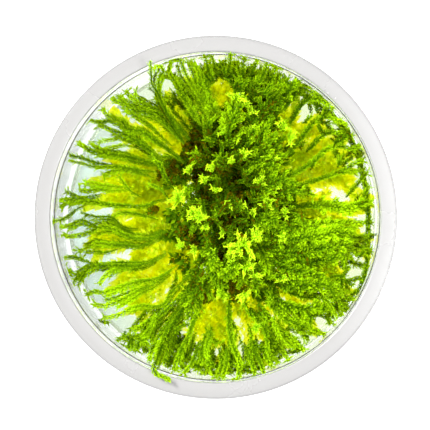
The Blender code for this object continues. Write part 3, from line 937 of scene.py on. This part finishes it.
# the growth between the seen shoots: how many to 20 degrees, where they begin and end on the way
# from the crown to the wall, and how high they lie
layers = {
    "haze": {"count": 6, "begin": (0.12, 0.75), "reach": (0.5, 1.05), "height": (13.5, 18), "arch": 0.6,
             "size": 2.0, "youth": (0.925, 0.925), "style": "broad", "clear": 0.0, "ageing": 0.35},
    "shortHaze": {"count": 5, "begin": (0.12, 0.5), "reach": (0.4, 0.92), "height": (13.5, 18),
                  "arch": 0.6, "size": 2.0, "youth": (0.925, 0.925), "style": "broad", "clear": 0.0,
                  "ageing": 0.35},
    "mat": {"count": 6, "begin": (0.12, 0.6), "reach": (0.5, 1.0), "height": (24, 33), "arch": 2.0,
            "size": 1.0, "youth": (0.27, 0.44), "style": "feather", "clear": 0.5},
    "shortMat": {"count": 7, "begin": (0.08, 0.3), "reach": (0.3, 0.55), "height": (26, 33),
                 "arch": 2.0, "size": 1.0, "youth": (0.27, 0.40), "style": "feather", "clear": 0.5},
    "thinMat": {"count": 4, "begin": (0.05, 0.15), "reach": (0.2, 0.42), "height": (26, 33),
                "arch": 2.0, "size": 1.0, "youth": (0.28, 0.38), "style": "rope", "clear": 0.5},
    "strands": {"count": 2.5, "begin": (0.2, 0.6), "reach": (0.6, 1.02), "height": (19, 28), "arch": 2.0,
                "size": 1.0, "youth": (0.36, 0.48), "style": "rope", "clear": 0.5},
    "rim": {"count": 13, "begin": (0.72, 0.88), "reach": (0.92, 1.05), "height": (24, 37), "arch": 1.5,
            "size": 0.9, "youth": (0.36, 0.50), "style": "rope", "clear": 0.4},
}


def reachAt(bearing):
    # from the crown's centre to where the tips end near the wall
    tipsEnd = 42.5
    out = heading(math.radians(bearing))
    centre = crown["centre"]
    along = float(out @ centre)
    return -along + math.sqrt(along ** 2 - float(centre @ centre) + tipsEnd ** 2)


def plumeOf(spot):
    turned = (firstBearing - bearingOf(spot)) % 360
    ends = [(firstBearing - low) % 360 for low, _ in plumes[:-1]] + [360.0]
    return next(number for number, end in enumerate(ends) if turned <= end)


def tuftAt(spot):
    turned = math.radians(bearingOf(spot)) - crown["turn"]
    edge = 1.0 / math.hypot(math.cos(turned) / crown["reach"][0], math.sin(turned) / crown["reach"][1])
    inside = math.hypot(*(np.asarray(spot)[:2] - crown["centre"])) < edge
    return crownTuft if inside else tufts[plumeOf(spot)]


def smoothRoute(places, spacing=1.0):
    ends = [places[0] * 2 - places[1]] + list(places) + [places[-1] * 2 - places[-2]]
    route = []
    for a, b, c, d in zip(ends, ends[1:], ends[2:], ends[3:]):
        count = max(2, int(np.linalg.norm(c - b) / spacing) + 1)
        t = np.linspace(0, 1, count, endpoint=False)[:, None]
        route.append(0.5 * (2 * b + (c - a) * t + (2 * a - 5 * b + 4 * c - d) * t ** 2
                            + (3 * b - a - 3 * c + d) * t ** 3))
    return np.concatenate(route + [places[-1][None]])


# what a seen shoot has where it doesn't say otherwise, and what those beside it have
usual = {
    "youth": 0.36, "tipYouth": 0.13, "size": 1.0, "style": "rope", "arch": 1.5, "density": 1.2,
    "stem": 0.32, "fingerLength": 2.1, "fan": 40.0,
    "slimBefore": 160, "slim": 0.4, "full": 0.9,   # thin at the foot on the left of the picture
}
beside = {
    "gap": (0.8, 1.5), "kept": (0.72, 0.93), "lower": (0.4, 2.5), "tipYouth": 0.1, "density": 1.1,
    "stem": 0.26, "fingerLength": 1.8,
}


def seenShoot(shoot):
    at = shoot["at"]
    high = shoot["high"]
    if len(high) != len(at):
        share = np.linspace(0, 1, len(at))
        high = high[0] + (high[-1] - high[0]) * share + np.sin(share * math.pi) * usual["arch"]
    places = [seenAt(x, y, z) for (x, y), z in zip(at, high)]
    route = smoothRoute(places[::-1])
    youth = shoot.get("youth", usual["youth"])
    size = shoot.get("size", usual["size"])
    style = styles[shoot.get("style", usual["style"])]
    tuft = tufts[plumeOf(places[0])]
    slim = usual["slim"] if at[0][0] < usual["slimBefore"] else usual["full"]
    growFrond(tuft, route, size * 1.1, (youth, youth + usual["tipYouth"]), style, usual["density"],
              stem=usual["stem"], slim=slim)
    forkTip(tuft, route, size, (youth + 0.08, youth + 0.16),
            shoot.get("forks", random.integers(3, 6)), usual["fingerLength"], usual["fan"])
    ahead = unit(np.gradient(route, axis=0))
    across = unit(np.cross(ahead, upward))
    for number in range(shoot.get("beside", 0) + (len(at) > 5)):
        side = 1 if number % 2 else -1
        gap = side * random.uniform(*beside["gap"]) * (1 + number // 2)
        kept = route[:max(4, int(len(route) * random.uniform(*beside["kept"])))]
        share = np.linspace(0.25, 1, len(kept))[:, None]
        near = kept + across[:len(kept)] * gap * share
        near[:, 2] -= random.uniform(*beside["lower"])
        near = wander(near, 0.5)
        if crossing(near, 0.0, lowGlow) > 2.0:
            continue
        shade = youth + random.normal(0.01, 0.04)
        growFrond(tuft, near, size, (shade, shade + beside["tipYouth"]), style, beside["density"],
                  stem=beside["stem"], slim=slim)
        forkTip(tuft, near, size * 0.9, (shade + 0.08, shade + 0.14), random.integers(2, 5),
                beside["fingerLength"])


def fillPlume(tuft, parts, low, high):
    width = (low - high) % 360
    for part in parts:
        layer = layers[part]
        pale = part.endswith("aze")
        size = layer["size"]
        style = styles[layer["style"]]
        for _ in range(round(layer["count"] * width / 20.0)):
            bearing = high + random.uniform(0, 1) * width
            begin = random.uniform(*layer["begin"])
            share = max(begin + 0.12, random.uniform(*layer["reach"]) ** 0.8)
            far = reachAt(bearing) * share
            height = random.uniform(*layer["height"])
            tip = np.append(crown["centre"] + heading(math.radians(bearing)) * far, height)
            route, cross = clearRoute(tip, height - random.uniform(0.5, 3), layer["arch"],
                                      random.normal(0, 0.1), layer["clear"], begin / share,
                                      clearings if pale else glowing)
            if cross > (1.4 if pale else 0.6):
                continue
            shade = random.normal(0, 0.025)
            first, last = layer["youth"]
            if pale:
                # golden near the crown on the left
                old = float(np.interp(begin, (0.12, 0.26), (1.0, first))) if part == "shortHaze" else first
                growFrond(tuft, route, size, (old + shade, last + shade), style, 0.55, layer["ageing"])
            else:
                growFrond(tuft, route, size, (first + shade, last + shade), style)
                forkTip(tuft, route, size * 0.9, (last + shade, last + shade + 0.08),
                        random.integers(2, 4), 1.5)


tufts = [newTuft() for _ in plumes]
crownTuft = newTuft()
for shoot in shoots:
    seenShoot(shoot)
print("seen shoots grown")
bearing = firstBearing
for tuft, (low, parts) in zip(tufts, plumes):
    fillPlume(tuft, parts, bearing, low)
    bearing = low
print("plumes filled")

# the crown: a bed of old brown stems, short green shoots over it and the lime tips on top
brownStems = {"number": 260, "feet": (12.6, 15), "heads": (15, 27), "size": 1.7, "youth": (0.08, 0.2)}
for _ in range(brownStems["number"]):
    bearing = random.uniform(0, 360)
    foot = crownEdge(bearing, random.uniform(0.0, 1.6))
    head = crownEdge(bearing + random.normal(0, 30), random.uniform(0.3, 2.3))
    start = np.append(foot, random.uniform(*brownStems["feet"]))
    end = np.append(head, random.uniform(*brownStems["heads"]))
    route = bentRoute(start, end, 1.5)
    if crossing(route, 0.4, lowGlow) < 0.3:
        growShoot(crownTuft, route, brownStems["size"], brownStems["youth"], 0.6)

# dark green shoots deep between the stems
deepShoots = {
    "number": 260, "heights": (21, 28), "youth": 0.27, "size": 0.8, "density": 1.2, "spread": 44.0,
    "leaves": (-0.05, 0.03), "tips": (0.02, 0.08), "fingers": (2, 5), "fingerLength": 1.9, "fan": 42.0,
}
for _ in range(deepShoots["number"]):
    bearing = random.uniform(0, 360)
    head = crownEdge(bearing, random.uniform(0.0, 2.6) ** 0.9)
    end = np.append(head, random.uniform(*deepShoots["heights"]))
    start = end + np.array((random.normal(0, 2.0), random.normal(0, 2.0), -random.uniform(3, 6)))
    route = bentRoute(start, end, 0.8)
    if crossing(route, 0.4, lowGlow) <= 0.3:
        growSprig(crownTuft, route, deepShoots, random.normal(deepShoots["youth"], 0.02))

# an olive bed between the crown and the glowing lower growth
oliveBed = {"number": 150, "centre": crown["centre"] + np.array((0.5, -2.0)), "from": (3, 14),
            "long": (3, 7), "size": 1.9, "youth": (0.08, 0.2), "tipYouth": 0.26, "leftEnd": -8.0}
for _ in range(oliveBed["number"]):
    out = heading(math.radians(random.uniform(0, 360)))
    inner = oliveBed["centre"] + out * random.uniform(*oliveBed["from"])
    outer = inner + out * random.uniform(*oliveBed["long"]) + random.normal(0, 1.5, 2)
    start = np.append(inner, random.uniform(14, 18))
    end = np.append(outer, random.uniform(15, 20))
    route = curveThrough(start, start + (end - start) * 0.3, end - (end - start) * 0.3, end, 7)
    # on the left the glow comes right up to the crown
    if crossing(route, 0.8, lowGlow) == 0.0 and outer[0] > oliveBed["leftEnd"]:
        youth = (random.uniform(*oliveBed["youth"]), oliveBed["tipYouth"])
        growFrond(crownTuft, route, oliveBed["size"], youth, styles["broad"], 0.5)

# short side shoots with forked ends all over the clump
shortShoots = {
    "number": 960, "centre": (232.0, 212.0), "reach": (138.0, 150.0), "size": 0.75, "density": 1.2,
    "spread": 44.0, "leaves": (-0.06, 0.08), "tips": (0.06, 0.3), "fingers": (2, 5),
    "fingerLength": 1.9, "fan": 42.0,
}
for _ in range(shortShoots["number"]):
    bearing = random.uniform(0, math.tau)
    away = random.uniform(0.0, 1.0) ** 0.6
    across = shortShoots["centre"][0] + math.cos(bearing) * away * shortShoots["reach"][0]
    down = shortShoots["centre"][1] - math.sin(bearing) * away * shortShoots["reach"][1]
    # not on the left, where single strands lie side by side
    if across < 178 + 0.15 * abs(down - 200) - 0.9 * max(0.0, down - 290) and down > 100:
        continue
    # between the middle and the wall the long shoots lie open
    if 0.42 < away < 0.86 and random.uniform(0, 1) < 0.6:
        continue
    end = seenAt(across, down, random.uniform(29, 35.5) - away * 3)
    out = math.radians(bearingOf(end) + random.normal(0, 42))
    lean = random.uniform(2.5, 5.0)
    start = end - np.array((math.cos(out) * lean, math.sin(out) * lean, random.uniform(1.5, 4.5)))
    pull = start + upward * 2.5
    route = wander(curveThrough(start, pull, (pull + end) / 2 + upward, end, 8), 0.5)
    if crossing(route, 0.4, glowing) > 0.3:
        continue
    growSprig(tuftAt(end), route, shortShoots, random.normal(0.275 + 0.075 * away, 0.03))

# pale lobes low at the top, fanned out from one place, with pale shoots under them
petals = {
    "foot": (221, 108),
    "tips": ((209, 86), (214, 83), (220, 90), (226, 82), (232, 88), (216, 96), (212, 92), (223, 97),
             (228, 94), (219, 82)),
    "heights": (19, 25),
    "size": 4.2,
    "youth": (0.93, 0.95),
    "under": {"number": 7, "across": (208, 234), "down": (80, 104), "heights": (15, 18), "size": 2.6,
              "youth": (0.92, 0.94)},
}
foot = seenAt(*petals["foot"], petals["heights"][0])
for across, down in petals["tips"]:
    tip = seenAt(across, down, petals["heights"][1])
    begin = foot + (tip - foot) * 0.45
    route = np.linspace(begin, begin + (tip - begin) * 0.25, 4)
    growShoot(tufts[plumeOf(tip)], route, petals["size"], petals["youth"], 1.0, 16.0)
under = petals["under"]
for _ in range(under["number"]):
    middle = seenAt(random.uniform(*under["across"]), random.uniform(*under["down"]),
                    random.uniform(*under["heights"]))
    half = np.array((random.normal(0, 0.6), 2.0, 0.3))
    route = np.linspace(middle - half, middle + half, 5)
    growShoot(tufts[plumeOf(middle)], route, under["size"], under["youth"], 0.6, 55.0)

# dark old leaves under the hollows, so that no light comes up through them
darkLeaves = {"number": 9, "spread": 0.6, "heights": (15, 19), "half": 1.6, "size": 2.0,
              "youth": (0.1, 0.2)}
for across, down, long, wide, _ in hollowSpots:
    for _ in range(darkLeaves["number"]):
        middle = seenAt(across + random.normal(0, long * darkLeaves["spread"]),
                        down + random.normal(0, wide * darkLeaves["spread"]),
                        random.uniform(*darkLeaves["heights"]))
        route = flatRoute(middle, random.uniform(0, math.tau), random.normal(0, 0.15),
                          darkLeaves["half"], 5)
        growShoot(tuftAt(middle), route, darkLeaves["size"], darkLeaves["youth"], 0.7, 60.0)

# green low growth under the middle of the clump
lowGreen = {"number": 170, "centre": 5.0, "reach": 22.0, "heights": (18, 22), "half": (1.6, 2.6),
            "size": 1.9, "youth": 0.27}
for _ in range(lowGreen["number"]):
    bearing = random.uniform(0, math.tau)
    away = lowGreen["reach"] * math.sqrt(random.uniform(0.02, 1.0))
    middle = np.array((lowGreen["centre"] + math.cos(bearing) * away, math.sin(bearing) * away * 1.1,
                       random.uniform(*lowGreen["heights"])))
    turn = math.radians(bearingOf(middle) + random.normal(0, 25))
    route = flatRoute(middle, turn, random.normal(0, 0.1), random.uniform(*lowGreen["half"]), 6)
    if crossing(route, 0.6, lowGlow) == 0.0:
        shade = random.normal(lowGreen["youth"], 0.03)
        growShoot(tuftAt(middle), route, lowGreen["size"], (shade, shade + 0.05), 0.6, 60.0)

# pale leaves close over the gel
paleLeaves = {"number": 215, "centre": 2.0, "reach": (13.0, 37.0), "heights": (14.5, 17),
              "half": (2.0, 3.2), "size": 2.1, "youth": 0.91}
for _ in range(paleLeaves["number"]):
    bearing = random.uniform(0, math.tau)
    away = random.uniform(*paleLeaves["reach"])
    middle = np.array((paleLeaves["centre"] + math.cos(bearing) * away, math.sin(bearing) * away,
                       random.uniform(*paleLeaves["heights"])))
    turn = math.radians(bearingOf(middle) + random.normal(0, 20))
    route = flatRoute(middle, turn, random.normal(0, 0.1), random.uniform(*paleLeaves["half"]), 6)
    if crossing(route, 0.6) == 0.0:
        shade = random.normal(paleLeaves["youth"], 0.03)
        growShoot(tufts[plumeOf(middle)], route, paleLeaves["size"], (shade, shade + 0.02), 0.5, 60.0)

# rusty old leaves that show between the shoots: place in the picture and how far they spread
rust = {
    "places": (
        (223, 118, 6), (226, 107, 4), (219, 126, 4), (165, 164, 6), (170, 160, 3), (171, 173, 5),
        (160, 172, 5), (188, 243, 6), (181, 232, 5), (216, 277, 6), (205, 300, 5), (236, 290, 5),
        (150, 212, 5),
    ),
    "number": 7, "heights": (22, 25), "long": (1.5, 2.5), "size": 1.6, "youth": (0.17, 0.22),
}
for across, down, spread in rust["places"]:
    for _ in range(rust["number"]):
        end = seenAt(across + random.normal(0, spread / 2), down + random.normal(0, spread / 2),
                     random.uniform(*rust["heights"]))
        turn = math.radians(bearingOf(end) + random.normal(0, 50))
        start = end - np.array((math.cos(turn), math.sin(turn), 0.3)) * random.uniform(*rust["long"])
        growShoot(tuftAt(end), np.linspace(start, end, 5), rust["size"], rust["youth"], 0.8, 46.0)

# tangled short shoots along the wall: from and to which bearing, and how many
tangles = {
    "places": ((-112, -60, 120), (-60, -18, 60), (62, 112, 110), (-18, 62, 60), (205, 248, 40)),
    "heights": (27, 37), "youth": 0.345, "size": 0.8, "density": 1.1, "spread": 46.0,
    "leaves": (-0.05, 0.06), "tips": (0.05, 0.22), "fingers": (2, 4), "fingerLength": 1.7, "fan": 46.0,
}
for low, high, count in tangles["places"]:
    for _ in range(count):
        bearing = math.radians(random.uniform(low, high))
        away = wallRadius(32.0) * random.uniform(0.84, 0.975)
        end = np.append(heading(bearing) * away, random.uniform(*tangles["heights"]))
        turn = bearing + random.normal(0, 0.9)
        lean = random.uniform(2.0, 4.5)
        start = end - np.array((math.cos(turn) * lean, math.sin(turn) * lean, random.uniform(1.0, 3.5)))
        route = wander(curveThrough(start, start + upward * 1.5, end, end, 7), 0.5)
        if crossing(route, 0.4) <= 0.3:
            growSprig(tufts[plumeOf(end)], route, tangles, random.normal(tangles["youth"], 0.035))

# yellow and dark specks on the wall: place in the picture, height and youth
specks = (
    (188, 376, 20, 0.93), (195, 378, 22, 0.93), (206, 377, 18, 0.93), (213, 379, 21, 0.93),
    (99, 324, 20, 0.93), (72, 148, 24, 0.03), (61, 176, 22, 0.03),
)
speckHalf, speckSize = 0.25, 0.4
for across, down, height, fresh in specks:
    middle = seenAt(across, down, height)
    route = np.linspace(middle - speckHalf, middle + speckHalf, 4)
    growShoot(tufts[plumeOf(middle)], route, speckSize, (fresh, fresh), 1.0)
print("crown and lower growth grown")

# lime tips near the camera: place in the picture, height, how many fingers, how long in pixels,
# and the way they point in degrees with the width of the fan
stars = (
    (243, 246, 37, 9, 17, 60, 330), (256, 239, 37, 6, 11, 40, 160), (234, 249, 36, 5, 11, 200, 150),
    (200, 218, 36, 8, 14, 120, 330), (194, 213, 35, 5, 9, 140, 160), (206, 226, 35, 4, 9, 260, 160),
    (178, 199, 35, 7, 11, 110, 300), (176, 196, 34, 3, 7, 60, 120), (180, 246, 33, 4, 7, 90, 160),
    (237, 99, 35, 6, 10, 80, 220), (244, 102, 34, 3, 7, 20, 120), (249, 112, 34, 4, 9, 10, 160),
    (265, 88, 34, 5, 9, 100, 240), (262, 80, 33, 4, 8, 30, 160), (271, 93, 33, 3, 7, 30, 120),
    (284, 128, 33, 5, 9, 60, 260), (290, 137, 33, 4, 8, 10, 200), (254, 134, 34, 5, 8, 100, 240),
    (236, 141, 34, 3, 6, 10, 160), (224, 133, 34, 3, 6, 120, 160), (244, 156, 35, 4, 7, 60, 200),
    (232, 160, 35, 3, 6, 150, 200), (213, 167, 34, 3, 6, 170, 160), (217, 191, 34, 3, 6, 80, 200),
    (261, 183, 34, 4, 8, 80, 220), (268, 206, 34, 5, 9, 70, 240), (253, 214, 34, 4, 7, 60, 240),
    (229, 205, 34, 4, 7, 60, 300), (243, 207, 34, 3, 6, 100, 200), (284, 213, 33, 4, 7, 40, 240),
    (280, 238, 34, 4, 8, 0, 160), (233, 264, 34, 6, 10, 200, 300), (246, 267, 34, 5, 9, 320, 260),
    (255, 275, 33, 4, 8, 300, 200), (221, 295, 33, 4, 8, 220, 240), (245, 294, 33, 5, 9, 300, 260),
    (256, 328, 33, 5, 9, 340, 260), (283, 278, 33, 4, 8, 320, 240), (337, 291, 33, 6, 11, 330, 320),
    (332, 297, 32, 3, 8, 240, 160), (224, 232, 33, 3, 6, 180, 200), (300, 240, 33, 3, 7, 0, 120),
    (214, 255, 33, 4, 8, 200, 260), (196, 250, 32, 3, 7, 200, 200), (205, 180, 33, 3, 6, 120, 200),
    (190, 170, 33, 3, 7, 140, 160), (270, 160, 33, 4, 8, 60, 240), (275, 185, 33, 3, 7, 10, 160),
)
lime = {"rise": 3.5, "size": 0.6, "youth": (0.46, 0.78), "tipSize": 0.78, "tipYouth": (0.72, 0.8)}
for across, down, height, fingers, long, towards, fan in stars:
    middle = seenAt(across, down, height - lime["rise"])
    lobes = round(fingers * 1.1)
    tuft = tuftAt(middle)
    for number in range(lobes):
        turn = math.radians(towards + fan * ((number + 0.5) / lobes - 0.5) + random.normal(0, 12))
        away = long * pixelSize * random.uniform(0.3, 1.05)
        out = np.array((math.cos(turn), math.sin(turn), 0.0)) * away
        tip = middle + out + upward * (lime["rise"] + random.normal(0, 0.5))
        foot = middle + random.normal(0, 0.5, 3) - upward * 1.5
        route = curveThrough(foot, foot + upward * 3.0, tip - out * 0.4, tip, 8)
        growFrond(tuft, route, lime["size"], lime["youth"], styles["antler"], 1.1, 0.6)
        forkTip(tuft, route, lime["tipSize"], lime["tipYouth"], random.integers(1, 4), 1.3, 60.0)

total = 0
for number, tuft in enumerate(tufts, 1):
    total += buildTuft(f"mossPlume{number:02d}", tuft, f"moss_plume_{number:02d}")
total += buildTuft("mossCrown", crownTuft, "moss_crown")
print("moss triangles", total)

# floor, light and camera
floorMesh = bpy.data.meshes.new("paleFloor")
shape = bmesh.new()
bmesh.ops.create_grid(shape, x_segments=1, y_segments=1, size=3.0)
bmesh.ops.translate(shape, vec=(0, 0, -0.0003), verts=shape.verts[:])
shape.to_mesh(floorMesh)
shape.free()
paleFloor = bpy.data.objects.new("paleFloor", floorMesh)
bpy.context.collection.objects.link(paleFloor)
floorMaterial, tree, shader = newMaterial("paleFloor")
setValues(tree, shader, {
    "Base Color": (0.16, 0.16, 0.16, 1),
    "Roughness": 0.6,
    "Emission Color": (1, 1, 1, 1),
    "Emission Strength": 1.6,
})
floorMesh.materials.append(floorMaterial)

world = bpy.data.worlds.new("softRoom")
world.use_nodes = True
setValues(world.node_tree, world.node_tree.nodes["Background"], {
    "Color": (0.9, 0.92, 0.94, 1),
    "Strength": 0.92,
})
bpy.context.scene.world = world


def softLight(name, place, size, power, target=(0, 0, 0.03)):
    light = bpy.data.lights.new(name, "AREA")
    light.shape = "RECTANGLE"
    light.size, light.size_y = size
    light.energy = power
    lamp = bpy.data.objects.new(name, light)
    lamp.location = place
    lamp.rotation_euler = (Vector(target) - Vector(place)).to_track_quat("-Z", "Y").to_euler()
    bpy.context.collection.objects.link(lamp)


softLight("leftSoftbox", (-0.75, 0.55, 0.85), (0.35, 0.35), 37.0)
softLight("rightSoftbox", (0.85, -0.45, 0.9), (0.4, 0.4), 17.0)
# its mirror image lies on the right part of the flange
softLight("highPanel", (0.3, -0.005, 1.2), (0.6, 0.16), 3.0, (0.3, -0.005, 0.0))

camera = {
    "place": Vector((tiltRight * cameraHeight, -tiltFront * cameraHeight, rimHeight + cameraHeight)) * mm,
    "aim": Vector((-0.08, 0.6, rimHeight)) * mm,
    "sensor": 36.0,
    "widthSeen": 118.1,   # in the plane of the rim, in millimetres
}
lens = bpy.data.cameras.new("topCamera")
lens.sensor_width = camera["sensor"]
lens.lens = camera["sensor"] * cameraHeight / camera["widthSeen"]
lens.clip_end = 20.0
eye = bpy.data.objects.new("topCamera", lens)
back = (camera["place"] - camera["aim"]).normalized()
right = Vector((0, 1, 0)).cross(back).normalized()
eye.matrix_world = Matrix.Translation(camera["place"]) @ Matrix(
    (right, back.cross(right), back)).transposed().to_4x4()
bpy.context.collection.objects.link(eye)

scene = bpy.context.scene
scene.camera = eye
scene.view_settings.view_transform = "Standard"
scene.cycles.max_bounces = 64
scene.cycles.diffuse_bounces = 7
scene.cycles.transmission_bounces = 64
scene.cycles.glossy_bounces = 32
scene.cycles.use_denoising = True
print("floor, light and camera placed")

bpy.context.view_layer.update()
